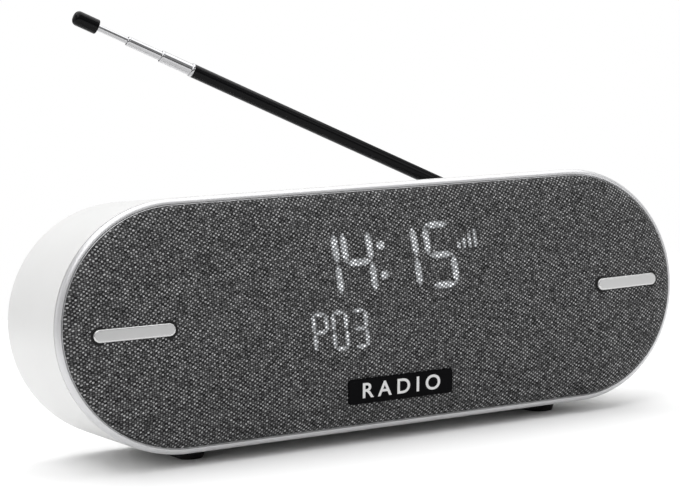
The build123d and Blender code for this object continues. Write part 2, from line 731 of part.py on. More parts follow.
def aerial_cap():
    cap = Cylinder(CAP_R, CAP_LENGTH)
    cap = fillet(cap.edges().group_by(Axis.Z)[-1], 2.2)
    cap = fillet(cap.edges().group_by(Axis.Z)[0], 0.5)
    cap = Pos(ROD_END + CAP_LENGTH / 2, 0, 0) * Rot(0, 90, 0) * cap
    return on_mast(cap - tube(ROD_END - 1, ROD_END + 6.1, ROD_R + 0.01, 0))


# ---------------------------------------------------------------- build and write
def speaker_nodes():
    pieces = {"frame": speaker_frame, "magnet": speaker_magnet, "yoke": speaker_yoke,
              "coil": speaker_coil, "cone": speaker_cone, "dust_cap": speaker_dust_cap,
              "surround": speaker_surround}
    return {f"speaker_{piece}_{name}": make(side)
            for piece, make in pieces.items() for side, name in ((-1, "left"), (1, "right"))}


def button_nodes():
    return {f"button_{name}": button_place(index) * button() for index, name in enumerate(BUTTON_NAMES)}


def nodes():
    made = {
        "housing_shell": housing_shell(),
        "bezel_ring": bezel_ring(),
        "rear_cover": rear_cover(),
        "rear_cover_screws": rear_cover_screws(),
        "foot_left": foot(-1),
        "foot_right": foot(1),
        "trim_bar_left": trim_bar(-1),
        "trim_bar_right": trim_bar(1),
        "badge_plate": badge_plate(),
        "grille_fabric": grille_fabric(),
        "grille_frame": grille_frame(),
        "display_window": display_window(),
        "display_segments": display_segments(),
        "display_reflector": display_reflector(),
        "display_board": display_board(),
        "display_screws": display_screws(),
        "front_baffle": front_baffle(),
        "baffle_screws": baffle_screws(),
        "speaker_screws": speaker_screws(),
        "main_board": main_board(),
        "main_board_parts": main_board_parts(),
        "tuner_can": tuner_can(),
        "main_board_screws": main_board_screws(),
        "dc_socket": dc_socket(),
        "aux_socket": aux_socket(),
        "button_board": button_board(),
        "button_switches": button_switches(),
        "button_board_screws": button_board_screws(),
        "aerial_turret": aerial_turret(),
        "aerial_screw": aerial_screw(),
        "aerial_hinge_pin": aerial_hinge_pin(),
        "aerial_knuckle": aerial_knuckle(),
        "aerial_sleeve": aerial_sleeve(),
        "aerial_lower_tube": aerial_lower_tube(),
        "aerial_upper_tube": aerial_upper_tube(),
        "aerial_rod": aerial_rod(),
        "aerial_cap": aerial_cap(),
    }
    made.update(speaker_nodes())
    made.update(button_nodes())
    return made


os.makedirs("parts", exist_ok=True)
for node, part in nodes().items():
    solids = part if isinstance(part, list) else [part]
    export_step(Compound(children=[solid for piece in solids for solid in piece.solids()]),
                f"parts/{node}.step")
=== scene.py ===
"""Finishes for a tabletop stereo radio: woven front, silver bezel, lit clock, printed keys, bright aerial.

Laid out as an add-on. Sizes are in metres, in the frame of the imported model: +Z up, the cloth faces -Y.
"""

import json
from math import asin, cos, hypot, pi, radians, sin, sqrt

import bmesh
import bpy
from bpy.props import FloatProperty, FloatVectorProperty, IntProperty, PointerProperty, StringProperty
from mathutils import Matrix, Vector

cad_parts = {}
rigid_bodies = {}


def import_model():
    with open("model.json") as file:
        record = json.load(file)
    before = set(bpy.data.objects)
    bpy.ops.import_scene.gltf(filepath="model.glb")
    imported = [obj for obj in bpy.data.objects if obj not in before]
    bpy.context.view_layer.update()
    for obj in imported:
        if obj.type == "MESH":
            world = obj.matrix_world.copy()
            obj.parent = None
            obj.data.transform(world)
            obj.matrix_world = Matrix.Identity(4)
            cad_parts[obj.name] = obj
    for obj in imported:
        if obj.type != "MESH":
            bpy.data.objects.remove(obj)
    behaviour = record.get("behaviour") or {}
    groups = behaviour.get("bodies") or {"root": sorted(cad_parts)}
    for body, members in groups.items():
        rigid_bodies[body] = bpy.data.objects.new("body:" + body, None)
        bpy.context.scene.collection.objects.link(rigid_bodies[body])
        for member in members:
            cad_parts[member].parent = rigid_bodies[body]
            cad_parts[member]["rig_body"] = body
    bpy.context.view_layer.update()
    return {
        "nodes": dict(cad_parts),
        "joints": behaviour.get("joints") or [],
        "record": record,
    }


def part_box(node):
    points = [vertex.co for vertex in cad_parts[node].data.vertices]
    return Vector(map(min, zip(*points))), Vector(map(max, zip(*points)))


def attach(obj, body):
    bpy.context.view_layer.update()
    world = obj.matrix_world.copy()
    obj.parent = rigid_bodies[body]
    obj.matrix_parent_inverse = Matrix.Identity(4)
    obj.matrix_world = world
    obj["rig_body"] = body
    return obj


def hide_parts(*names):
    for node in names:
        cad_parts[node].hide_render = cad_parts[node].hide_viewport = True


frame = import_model()

bl_info = {
    "name": "Tabletop radio finishes",
    "version": (1, 0, 0),
    "blender": (4, 5, 0),
    "location": "View3D > Sidebar > Radio",
    "description": "Builds the cloth, trim, display and printed keys of a tabletop radio on its frame",
    "category": "Object",
}

# ---------------------------------------------------------------- places read from the frame
MM = 0.001
BEZEL_LOW, BEZEL_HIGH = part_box("bezel_ring")
CLOTH_LOW, CLOTH_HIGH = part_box("grille_fabric")
LIP_Y = BEZEL_LOW.y
BEZEL_BACK = BEZEL_HIGH.y - LIP_Y
CENTRE_Z = (BEZEL_LOW.z + BEZEL_HIGH.z) / 2
BODY_R = (BEZEL_HIGH.z - BEZEL_LOW.z) / 2
HALF_RUN = (BEZEL_HIGH.x - BEZEL_LOW.x) / 2 - BODY_R
CLOTH_R = (CLOTH_HIGH.z - CLOTH_LOW.z) / 2
CLOTH_BACK = CLOTH_HIGH.y - LIP_Y
DOME_RISE = LIP_Y - CLOTH_LOW.y
SLOTS = {part["node"]: part["material_slot"] for part in frame["record"]["subparts"]}
JOINTS = {joint["name"]: joint for joint in frame["joints"]}
MAST_FOOT = Vector(JOINTS["aerial_turn"]["pos_m"])
MAST_WAY = Vector(JOINTS["lower_slide"]["axis"])
BUTTONS = [node for node in frame["nodes"] if SLOTS.get(node) == "button_white"]
BUTTONS.sort(key=lambda node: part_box(node)[0].x)


# ---------------------------------------------------------------- what a user would change
def length(name, description, value):
    """A length in metres that a user can change."""
    return FloatProperty(name=name, description=description, default=value,
                         min=0, unit="LENGTH", precision=5)


def colour(name, description, value):
    """A linear RGBA colour that a user can change."""
    return FloatVectorProperty(name=name, description=description, default=value, size=4,
                               min=0, max=1, subtype="COLOR")


class RadioSizes(bpy.types.PropertyGroup):
    """Sizes of the finer pieces, in metres."""
    warp_pitch: length("Warp pitch", "Spacing of the upright yarns", 1.02 * MM)
    weft_pitch: length("Weft pitch", "Spacing of the level yarns", 0.81 * MM)
    cloth_thick: length("Cloth thickness", "Thickness of the woven cloth", 0.5 * MM)
    cloth_width: length("Cloth width", "Cut width of the cloth before it is stretched", 300 * MM)
    cloth_height: length("Cloth height", "Cut height of the cloth before it is stretched", 120 * MM)
    band_width: length("Bezel band", "Width of the rounded outer band of the bezel", 2.1 * MM)
    groove_width: length("Bezel groove", "Width of the groove between band and lip", 0.3 * MM)
    groove_depth: length("Groove depth", "Depth of the groove between band and lip", 1.2 * MM)
    band_back: length("Band depth", "Depth of the silver band behind its lip", 3.0 * MM)
    # the bar seat is painted shadow: a near-black ring round each trim bar that stands in for the shade the
    # bar casts on the cloth
    shadow_seat_margin: length("Bar seat", "Width of the black seat that shows round each trim bar", 1.0 * MM)
    bar_length: length("Bar length", "Length of a trim bar", 32 * MM)
    bar_height: length("Bar height", "Height of a trim bar", 5.2 * MM)
    badge_drop: length("Badge drop", "Centre of the badge below the centre line", 33.2 * MM)
    badge_proud: length("Badge proud", "How far the badge's face stands out of the cloth", 0.9 * MM)
    letter_height: length("Letter size", "Height of the letters on the badge", 8.8 * MM)
    digit_width: length("Digit width", "Width of a clock figure", 13.7 * MM)
    digit_height: length("Digit height", "Height of a clock figure", 27.4 * MM)
    digit_stroke: length("Digit stroke", "Width of a lit segment of the clock", 2.6 * MM)
    note_width: length("Note width", "Width of a figure in the second row", 7.0 * MM)
    note_height: length("Note height", "Height of a figure in the second row", 16.0 * MM)
    note_stroke: length("Note stroke", "Width of a lit segment in the second row", 1.5 * MM)
    glow_spread: length("Glow spread", "How far the light spreads in the cloth", 0.8 * MM)
    glow_grid: length("Glow grid", "Mesh size of the lit figures", 0.35 * MM)
    mark_stroke: length("Key mark stroke", "Line width of the marks printed on the keys", 0.5 * MM)
    ring_width: length("Aerial ring", "Width of the rolled ring at the end of each aerial tube", 0.9 * MM)


class RadioColours(bpy.types.PropertyGroup):
    """Colours of the finishes."""
    case: colour("Case", "White moulded case", (0.77, 0.77, 0.765, 1))
    silver: colour("Silver", "Satin silver of the bezel", (0.64, 0.64, 0.65, 1))
    trim: colour("Trim", "Bright satin of the trim bars", (0.66, 0.66, 0.66, 1))
    yarn_dark: colour("Dark yarn", "Darker yarn of the cloth", (0.007, 0.007, 0.0075, 1))
    yarn_light: colour("Light yarn", "Lighter yarn of the cloth", (0.54, 0.54, 0.545, 1))
    glow: colour("Glow", "Light of the display", (0.94, 0.97, 1.0, 1))
    lettering: colour("Lettering", "Letters on the badge", (0.72, 0.72, 0.72, 1))
    mark: colour("Key marks", "Marks printed on the keys", (0.09, 0.09, 0.095, 1))
    black: colour("Black", "Gloss black of the badge and the aerial", (0.002, 0.002, 0.0025, 1))
    rubber: colour("Rubber", "Rubber of the feet", (0.012, 0.012, 0.012, 1))
    chrome: colour("Chrome", "Plating of the aerial tubes", (0.49, 0.49, 0.50, 1))


class RadioDisplay(bpy.types.PropertyGroup):
    """What the display shows."""
    clock: StringProperty(name="Clock", description="Four figures of the clock", default="1415")
    note: StringProperty(name="Note", description="Figures of the second row", default="P03")
    bars: IntProperty(name="Signal bars", description="Lit bars of the signal mark", default=4, min=0, max=5)


# ---------------------------------------------------------------- meshes
WELD = 0.002 * MM
CREASE = 40                         # degrees between faces, above which an edge stays hard


def new_piece(name, points, faces, crease=CREASE):
    """A mesh object from points and faces, with its normals outward and its hard edges kept."""
    mesh = bpy.data.meshes.new(name)
    mesh.from_pydata([tuple(point) for point in points], [], faces)
    tidy_mesh(mesh, crease)
    piece = bpy.data.objects.new(name, mesh)
    bpy.context.scene.collection.objects.link(piece)
    return piece


def tidy_mesh(mesh, crease):
    """Weld the points, turn the normals outward and keep the edges sharper than the crease."""
    work = bmesh.new()
    work.from_mesh(mesh)
    bmesh.ops.remove_doubles(work, verts=work.verts, dist=WELD)
    bmesh.ops.recalc_face_normals(work, faces=work.faces)
    for face in work.faces:
        face.smooth = True
    work.to_mesh(mesh)
    work.free()
    mesh.set_sharp_from_angle(angle=radians(crease))


def grid_faces(rows, columns, wrap_rows=False, wrap_columns=False):
    """Quads between neighbouring points of a grid stored row by row."""
    faces = []
    for row in range(rows if wrap_rows else rows - 1):
        for column in range(columns if wrap_columns else columns - 1):
            below, beside = (row + 1) % rows, (column + 1) % columns
            faces.append((row * columns + column, row * columns + beside,
                          below * columns + beside, below * columns + column))
    return faces


def thicken(piece, thickness):
    """Give a sheet its thickness, behind the surface drawn."""
    solid = piece.modifiers.new("thickness", "SOLIDIFY")
    solid.thickness = thickness
    solid.offset = -1.0


def outline_rail(run_steps=60, round_steps=72):
    """Places round the stadium outline: the spine's x, and the outward direction across and up."""
    rail = []
    for side, start in ((1, 90), (-1, -90)):
        for k in range(run_steps):
            rail.append((side * HALF_RUN * (2 * k / run_steps - 1), 0.0, float(side)))
        for k in range(round_steps):
            turn = radians(start - 180 * k / round_steps)
            rail.append((side * HALF_RUN, cos(turn), sin(turn)))
    return rail


def sweep_outline(name, profile, crease):
    """A ring round the radio from a closed profile of (outline radius, depth behind the lip)."""
    rail = outline_rail()
    points = [(x + radius * across, LIP_Y + depth, CENTRE_Z + radius * up)
              for x, across, up in rail for radius, depth in profile]
    return new_piece(name, points, grid_faces(len(rail), len(profile), True, True), crease)


def lathe(name, profile, foot, way, steps=64):
    """A ring turned about a line from a closed profile of (place along, radius)."""
    upright = way.to_track_quat("Z", "Y").to_matrix()
    points = []
    for k in range(steps):
        turn = 2 * pi * k / steps
        points += [foot + upright @ Vector((radius * cos(turn), radius * sin(turn), along))
                   for along, radius in profile]
    return new_piece(name, points, grid_faces(steps, len(profile), True, True))


def dome(across, up):
    """How far the cloth stands out of the bezel lip at a place on the front."""
    beyond = max(abs(across) - HALF_RUN, 0.0)
    share = min(hypot(beyond, up) / CLOTH_R, 1.0)
    return DOME_RISE * sqrt(1 - share ** 2)


def on_front(across, up, proud=0.0):
    """A point on the cloth front, or standing out of it."""
    return Vector((across, LIP_Y - dome(across, up) - proud, CENTRE_Z + up))


def arc(centre, radius, start, end, steps=24):
    """Points along an arc, angles in degrees."""
    turns = [radians(start + (end - start) * k / steps) for k in range(steps + 1)]
    return [(centre[0] + radius * cos(turn), centre[1] + radius * sin(turn)) for turn in turns]


def ribbon(points, width, closed):
    """A flat line of even width along 2-D points, with mitred corners, as (points, faces)."""
    sharpest = 0.4                  # cosine that limits how far a mitre reaches
    count = len(points)
    sides = []
    for k, point in enumerate(points):
        before = points[k - 1] if closed or k else point
        after = points[(k + 1) % count] if closed or k < count - 1 else point
        way_in = (Vector(point) - Vector(before)).normalized() if before != point else None
        way_out = (Vector(after) - Vector(point)).normalized() if after != point else None
        way_in, way_out = way_in or way_out, way_out or way_in
        middle = (way_in + way_out).normalized()
        across = Vector((-middle.y, middle.x)) * width / 2 / max(middle.dot(way_in), sharpest)
        sides += [Vector(point) + across, Vector(point) - across]
    return sides, grid_faces(count, 2, wrap_rows=closed)


# ---------------------------------------------------------------- materials
class Shader:
    """Builds one node material, a step at a time."""

    def __init__(self, name, colour, roughness, metallic=0.0):
        self.material = bpy.data.materials.new(name)
        self.material.use_nodes = True
        self.tree = self.material.node_tree
        self.tree.nodes.clear()
        self.surface = self.node("ShaderNodeBsdfPrincipled")
        output = self.node("ShaderNodeOutputMaterial")
        self.tree.links.new(self.surface.outputs["BSDF"], output.inputs["Surface"])
        self.place = self.node("ShaderNodeTexCoord").outputs["Object"]
        self.set(base_color=colour, roughness=roughness, metallic=metallic)

    def node(self, kind, **settings):
        """A new node with its settings."""
        made = self.tree.nodes.new(kind)
        for key, value in settings.items():
            setattr(made, key, value)
        return made

    def feed(self, socket, value):
        """Link a socket to an output, or set its constant."""
        if isinstance(value, bpy.types.NodeSocket):
            self.tree.links.new(value, socket)
        else:
            socket.default_value = value

    def set(self, **values):
        """Set or link inputs of the surface by name."""
        for key, value in values.items():
            self.feed(self.surface.inputs[key.replace("_", " ").title().replace("Ior", "IOR")], value)
        return self

    def math(self, operation, *values):
        """The result of one sum on outputs or constants."""
        made = self.node("ShaderNodeMath", operation=operation)
        for socket, value in zip(made.inputs, values):
            self.feed(socket, value)
        return made.outputs[0]

    def noise(self, scale, detail=2.0, stretch=None):
        """Soft noise from 0 to 1, in features of 1/scale metres."""
        made = self.node("ShaderNodeTexNoise")
        made.inputs["Scale"].default_value = scale
        made.inputs["Detail"].default_value = detail
        place = self.place
        if stretch:
            mapping = self.node("ShaderNodeMapping")
            self.feed(mapping.inputs["Vector"], place)
            mapping.inputs["Scale"].default_value = stretch
            place = mapping.outputs[0]
        self.feed(made.inputs["Vector"], place)
        return made.outputs["Fac"]

    def span(self, value, low, high, start=0.0, end=1.0):
        """The value between start and end spread over a new range."""
        made = self.node("ShaderNodeMapRange", clamp=True)
        self.feed(made.inputs["Value"], value)
        made.inputs["From Min"].default_value = start
        made.inputs["From Max"].default_value = end
        made.inputs["To Min"].default_value = low
        made.inputs["To Max"].default_value = high
        return made.outputs["Result"]

    def mix(self, amount, first, second):
        """A colour between two colours."""
        factor, colour_a, colour_b, colour_out = 0, 6, 7, 2
        made = self.node("ShaderNodeMix", data_type="RGBA")
        self.feed(made.inputs[factor], amount)
        self.feed(made.inputs[colour_a], first)
        self.feed(made.inputs[colour_b], second)
        return made.outputs[colour_out]

    def mottle(self, colour, amount, scale):
        """The colour with slow light and dark patches."""
        darker = [channel * (1 - amount) for channel in colour[:3]] + [1]
        return self.mix(self.noise(scale, 3), darker, list(colour))

    def bump(self, height, distance, strength):
        """Relief from a height."""
        made = self.node("ShaderNodeBump")
        made.inputs["Strength"].default_value = strength
        made.inputs["Distance"].default_value = distance
        self.feed(made.inputs["Height"], height)
        self.feed(self.surface.inputs["Normal"], made.outputs["Normal"])
        return self


def moulded(name, colour, roughness, grain=1400, depth=0.02 * MM, coat=0.0, gloss=0.5):
    """Moulded plastic: slow tone changes, a fine grain and uneven gloss."""
    tone_share, tone_scale = 0.04, 30
    gloss_share, gloss_scale = 0.15, 180
    coat_polish, relief = 0.08, 0.35
    shader = Shader(name, colour, roughness)
    shader.set(base_color=shader.mottle(colour, tone_share, tone_scale), specular_ior_level=gloss)
    shader.set(roughness=shader.span(shader.noise(gloss_scale, 3), roughness * (1 - gloss_share),
                                     roughness * (1 + gloss_share)))
    if coat:
        shader.set(coat_weight=coat, coat_roughness=coat_polish)
    return shader.bump(shader.noise(grain, 2), depth, relief).material


def plated(name, colour, roughness, brushed=None, depth=0.01 * MM, metallic=1.0, fineness=1800):
    """Metal: slow tone changes, fine drawn or blasted grain, uneven gloss."""
    tone_share, tone_scale = 0.06, 45
    gloss_share, relief = 0.2, 0.25
    shader = Shader(name, colour, roughness, metallic)
    shader.set(base_color=shader.mottle(colour, tone_share, tone_scale))
    grain = shader.noise(fineness, 2, brushed)
    shader.set(roughness=shader.span(grain, roughness * (1 - gloss_share), roughness * (1 + gloss_share)))
    return shader.bump(grain, depth, relief).material


WEFT_SLANT = 0.14                   # rise of the weft along the front, for one unit across
YARN_WANDER = 0.2                   # how far a yarn strays, in pitches
MIDDLING = (0.3, 0.7)               # the part of a noise's range that holds most of it


def weave(shader, sizes):
    """Plain weave: +1 where the warp is on top to -1 where the weft is, and a shade for each crossing."""
    parts = shader.node("ShaderNodeSeparateXYZ")
    shader.feed(parts.inputs[0], shader.place)
    warp_bends, weft_bends = 260, 330
    wander = shader.span(shader.noise(warp_bends, 1), -YARN_WANDER, YARN_WANDER, *MIDDLING)
    drift = shader.span(shader.noise(weft_bends, 1), -YARN_WANDER, YARN_WANDER, *MIDDLING)
    slant = shader.math("MULTIPLY", parts.outputs["X"], WEFT_SLANT)
    level = shader.math("SUBTRACT", parts.outputs["Z"], slant)
    warp = shader.math("ADD", shader.math("DIVIDE", parts.outputs["X"], sizes.warp_pitch), wander)
    weft = shader.math("ADD", shader.math("DIVIDE", level, sizes.weft_pitch), drift)
    waves = [shader.math("SINE", shader.math("MULTIPLY", turn, pi)) for turn in (warp, weft)]
    over = shader.math("MULTIPLY", *waves)
    crossing = shader.node("ShaderNodeCombineXYZ")
    shader.feed(crossing.inputs[0], shader.math("FLOOR", warp))
    shader.feed(crossing.inputs[1], shader.math("FLOOR", weft))
    shade = shader.node("ShaderNodeTexWhiteNoise", noise_dimensions="2D")
    shader.feed(shade.inputs["Vector"], crossing.outputs[0])
    return over, shade.outputs["Value"]


def woven(name, sizes, colours):
    """The cloth: light and dark melange yarns that cross over and under. Returns it with its weave."""
    warp_round, weft_round, yarn_round = 0.9, 0.6, 0.5
    warp_shades, weft_shades = (0.2, 0.95), (0.16, 0.0)
    fibre_scale, patch_scale = 3000, 700
    yarn_relief, relief = 0.16 * MM, 0.8
    shader = Shader(name, colours.yarn_dark, 0.9)
    over, shade = weave(shader, sizes)
    under = shader.math("MULTIPLY", over, -1.0)
    warp_on_top = shader.math("POWER", shader.math("MAXIMUM", over, 0.0), warp_round)
    weft_on_top = shader.math("POWER", shader.math("MAXIMUM", under, 0.0), weft_round)
    light = shader.math("MULTIPLY", warp_on_top, shader.span(shade, *warp_shades))
    dark = shader.math("MULTIPLY", weft_on_top, shader.span(shade, *weft_shades))
    fibre = shader.span(shader.noise(fibre_scale, 2), 0.5, 1.5, *MIDDLING)
    patch = shader.span(shader.noise(patch_scale, 3), 0.65, 1.35, 0.32, 0.68)
    yarns = shader.math("ADD", light, dark)
    amount = shader.math("MULTIPLY", shader.math("MULTIPLY", yarns, fibre), patch)
    shader.set(base_color=shader.mix(amount, list(colours.yarn_dark), list(colours.yarn_light)))
    shader.set(sheen_weight=0.05, sheen_roughness=0.5, specular_ior_level=0.15)
    height = shader.math("POWER", shader.math("ABSOLUTE", over), yarn_round)
    shader.bump(height, yarn_relief, relief)
    return shader, warp_on_top, shade


def case_white(sizes, colours):
    return moulded("case_white", colours.case, 0.42, gloss=0.4)


def bezel_silver(sizes, colours):
    return plated("bezel_silver", colours.silver, 0.36, depth=0.001 * MM, metallic=0.6, fineness=7000)


def trim_silver(sizes, colours):
    along_bar = (0.15, 1, 1)
    return plated("trim_silver", colours.trim, 0.34, along_bar)


def badge_black(sizes, colours):
    return moulded("badge_black", colours.black, 0.25, gloss=0.04)


def cloth_grey(sizes, colours):
    return woven("cloth_grey", sizes, colours)[0].material


def inner_black(sizes, colours):
    return moulded("inner_black", (0.008, 0.008, 0.008, 1), 0.6, gloss=0.2)


def smoked_window(sizes, colours):
    return moulded("smoked_window", (0.03, 0.03, 0.035, 1), 0.2)


def display_light(sizes, colours):
    """Cloth with the display's light coming up between and through its lighter yarns."""
    yarn_glow, gap_glow, brightness = (0.2, 1.1), 0.13, 1.3
    shader, warp_on_top, shade = woven("display_light", sizes, colours)
    glow = shader.node("ShaderNodeAttribute", attribute_name="glow").outputs["Fac"]
    through_yarn = shader.math("MULTIPLY", warp_on_top, shader.span(shade, *yarn_glow))
    pores = shader.math("ADD", through_yarn, gap_glow)
    shader.set(emission_color=list(colours.glow))
    shader.set(emission_strength=shader.math("MULTIPLY", shader.math("MULTIPLY", glow, pores), brightness))
    return shader.material


def board_green(sizes, colours):
    return moulded("board_green", (0.02, 0.16, 0.07, 1), 0.35, coat=0.3)


def screw_steel(sizes, colours):
    return plated("screw_steel", (0.55, 0.55, 0.56, 1), 0.3)


def socket_black(sizes, colours):
    return moulded("socket_black", (0.015, 0.015, 0.015, 1), 0.42)


def foot_rubber(sizes, colours):
    return moulded("foot_rubber", colours.rubber, 0.62, grain=2600, depth=0.04 * MM, gloss=0.25)


def button_white(sizes, colours):
    return moulded("button_white", colours.case, 0.36, grain=2200, depth=0.03 * MM)


def aerial_black(sizes, colours):
    return moulded("aerial_black", colours.black, 0.22, grain=900, gloss=0.13)


def aerial_chrome(sizes, colours):
    return plated("aerial_chrome", colours.chrome, 0.07, depth=0.0002 * MM, fineness=7000)


def magnet_grey(sizes, colours):
    return moulded("magnet_grey", (0.16, 0.16, 0.17, 1), 0.6, grain=2000, depth=0.06 * MM)


def coil_copper(sizes, colours):
    return plated("coil_copper", (0.72, 0.36, 0.16, 1), 0.3)


def cone_paper(sizes, colours):
    return moulded("cone_paper", (0.05, 0.05, 0.055, 1), 0.85, grain=1200, depth=0.1 * MM)


def printed(name, colour):
    """A thin matt print."""
    return moulded(name, colour, 0.45, grain=3000, depth=0.01 * MM)


# one function per material slot of the record, named for its slot
FINISHES = (case_white, bezel_silver, trim_silver, badge_black, cloth_grey, inner_black, smoked_window,
            display_light, board_green, screw_steel, socket_black, foot_rubber, button_white,
            aerial_black, aerial_chrome, magnet_grey, coil_copper, cone_paper)
MADE = {}


def finish(slot, context):
    """The material for one slot, made on first use."""
    if slot not in MADE:
        maker = {function.__name__: function for function in FINISHES}[slot]
        MADE[slot] = maker(context.scene.radio_sizes, context.scene.radio_colours)
    return MADE[slot]


def dress(piece, slot, body, context, material=None):
    """Give a new piece its finish and the body that it moves with."""
    piece.data.materials.clear()
    piece.data.materials.append(material or finish(slot, context))
    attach(piece, body)
    return piece


# ---------------------------------------------------------------- camera and room
CAMERA_WAY = Vector((-0.3225, -0.6677, 0.0527))     # from the middle of the bezel's front
CAMERA_LENS = 95.95                                 # millimetres, on a sensor 36 mm wide
CAMERA_TURN = -24.39                                # degrees about the upright
CAMERA_DIP = 2.16                                   # degrees below level
CAMERA_ROLL = -4.13                                 # degrees about its own line of sight


class RADIO_OT_camera(bpy.types.Operator):
    """Place the camera in front of the radio, low and to its left"""
    bl_idname = "radio.place_camera"
    bl_label = "Place the camera"

    def execute(self, context):
        data = bpy.data.cameras.new("camera")
        data.sensor_width = 36
        data.lens = CAMERA_LENS
        camera = bpy.data.objects.new("camera", data)
        context.scene.collection.objects.link(camera)
        stand = Vector((0, LIP_Y, CENTRE_Z)) + CAMERA_WAY
        turn = (Matrix.Rotation(radians(CAMERA_TURN), 4, "Z")
                @ Matrix.Rotation(radians(90 - CAMERA_DIP), 4, "X")
                @ Matrix.Rotation(radians(CAMERA_ROLL), 4, "Z"))
        camera.matrix_world = Matrix.Translation(stand) @ turn
        context.scene.camera = camera
        return {"FINISHED"}


def area_light(context, name, place, aim, width, height, power):
    """A soft rectangular light that faces its aim, with its power in watts."""
    data = bpy.data.lights.new(name, "AREA")
    data.shape = "RECTANGLE"
    data.size = width
    data.size_y = height
    data.energy = power
    light = bpy.data.objects.new(name, data)
    context.scene.collection.objects.link(light)
    light.location = place
    light.rotation_euler = (Vector(aim) - Vector(place)).to_track_quat("-Z", "Y").to_euler()


def grey(level):
    """A linear grey."""
    return (level, level, level, 1)


def light_room(tree):
    """A room that is dim at eye level and paler overhead, and plain white behind the radio."""
    def node(kind):
        return tree.nodes.new(kind)
    direction = node("ShaderNodeTexCoord")
    parts = node("ShaderNodeSeparateXYZ")
    tone = node("ShaderNodeValToRGB")
    tree.links.new(direction.outputs["Generated"], parts.inputs[0])
    tree.links.new(parts.outputs["Z"], tone.inputs["Fac"])
    stops = tone.color_ramp.elements
    stops[0].position = 0.0
    stops[0].color = grey(0.12)
    stops[1].position = 0.75
    stops[1].color = grey(0.38)
    just_above_level = stops.new(0.12)
    just_above_level.color = grey(0.34)
    seen = node("ShaderNodeLightPath")
    pale = node("ShaderNodeBackground")
    blend = node("ShaderNodeMixShader")
    pale.inputs["Strength"].default_value = 1.0
    pale.inputs["Color"].default_value = grey(1)
    sky = tree.nodes["Background"]
    tree.links.new(tone.outputs["Color"], sky.inputs["Color"])
    tree.links.new(seen.outputs["Is Camera Ray"], blend.inputs["Fac"])
    tree.links.new(sky.outputs[0], blend.inputs[1])
    tree.links.new(pale.outputs[0], blend.inputs[2])
    tree.links.new(blend.outputs[0], tree.nodes["World Output"].inputs["Surface"])


class RADIO_OT_stage(bpy.types.Operator):
    """Lay the pale floor and hang the soft studio light"""
    bl_idname = "radio.build_stage"
    bl_label = "Build the stage"

    def execute(self, context):
        half_width, front, back = 1.4, -0.85, 0.95
        corners = [(-half_width, front, 0), (half_width, front, 0),
                   (half_width, back, 0), (-half_width, back, 0)]
        floor = new_piece("studio_floor", corners, [(0, 1, 2, 3)])
        paper = grey(0.95)
        shader = Shader("studio_paper", paper, 0.8)
        shader.set(base_color=shader.mottle(paper, 0.01, 4))
        floor.data.materials.append(shader.bump(shader.noise(600), 0.02 * MM, 0.1).material)
        world = bpy.data.worlds.new("studio")
        world.use_nodes = True
        light_room(world.node_tree)
        context.scene.world = world
        context.scene.view_settings.view_transform = "Standard"
        middle = (0, 0, CENTRE_Z)
        area_light(context, "key", (-0.9, -1.0, 1.3), middle, width=1.2, height=1.0, power=7)
        area_light(context, "fill", (1.4, -1.3, 0.7), middle, width=0.8, height=0.8, power=3)
        area_light(context, "top", (0.15, 0.35, 1.5), (0.15, 0.35, 0), width=2.6, height=2.4, power=37)
        area_light(context, "left_panel", (-1.3, 0.35, 0.45), middle, width=1.0, height=0.9, power=1.7)
        area_light(context, "right_panel", (1.3, 0.35, 0.45), middle, width=1.0, height=0.9, power=1.6)
        return {"FINISHED"}


# ---------------------------------------------------------------- cloth and trim
class RADIO_OT_cloth(bpy.types.Operator):
    """Stretch the woven cloth over the domed grille"""
    bl_idname = "radio.stretch_cloth"
    bl_label = "Stretch the cloth"

    def execute(self, context):
        sizes = context.scene.radio_sizes
        rows, edge_crease, dome_share = 52, 80, 1.04
        rail = outline_rail(90, 60)
        rings = [(CLOTH_R, -CLOTH_BACK), (CLOTH_R, -CLOTH_BACK / 2)]
        for k in range(rows + 1):
            turn = pi / 2 * k / rows
            rings.append((CLOTH_R * cos(turn), DOME_RISE * sin(turn)))
        points = [(x + radius * across, LIP_Y - proud, CENTRE_Z + radius * up)
                  for radius, proud in rings for x, across, up in rail]
        cloth = new_piece("front_cloth", points, grid_faces(len(rings), len(rail), False, True),
                          edge_crease)
        thicken(cloth, sizes.cloth_thick)
        dress(cloth, "cloth_grey", "cabinet", context)
        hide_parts("grille_fabric")
        return {"FINISHED"}


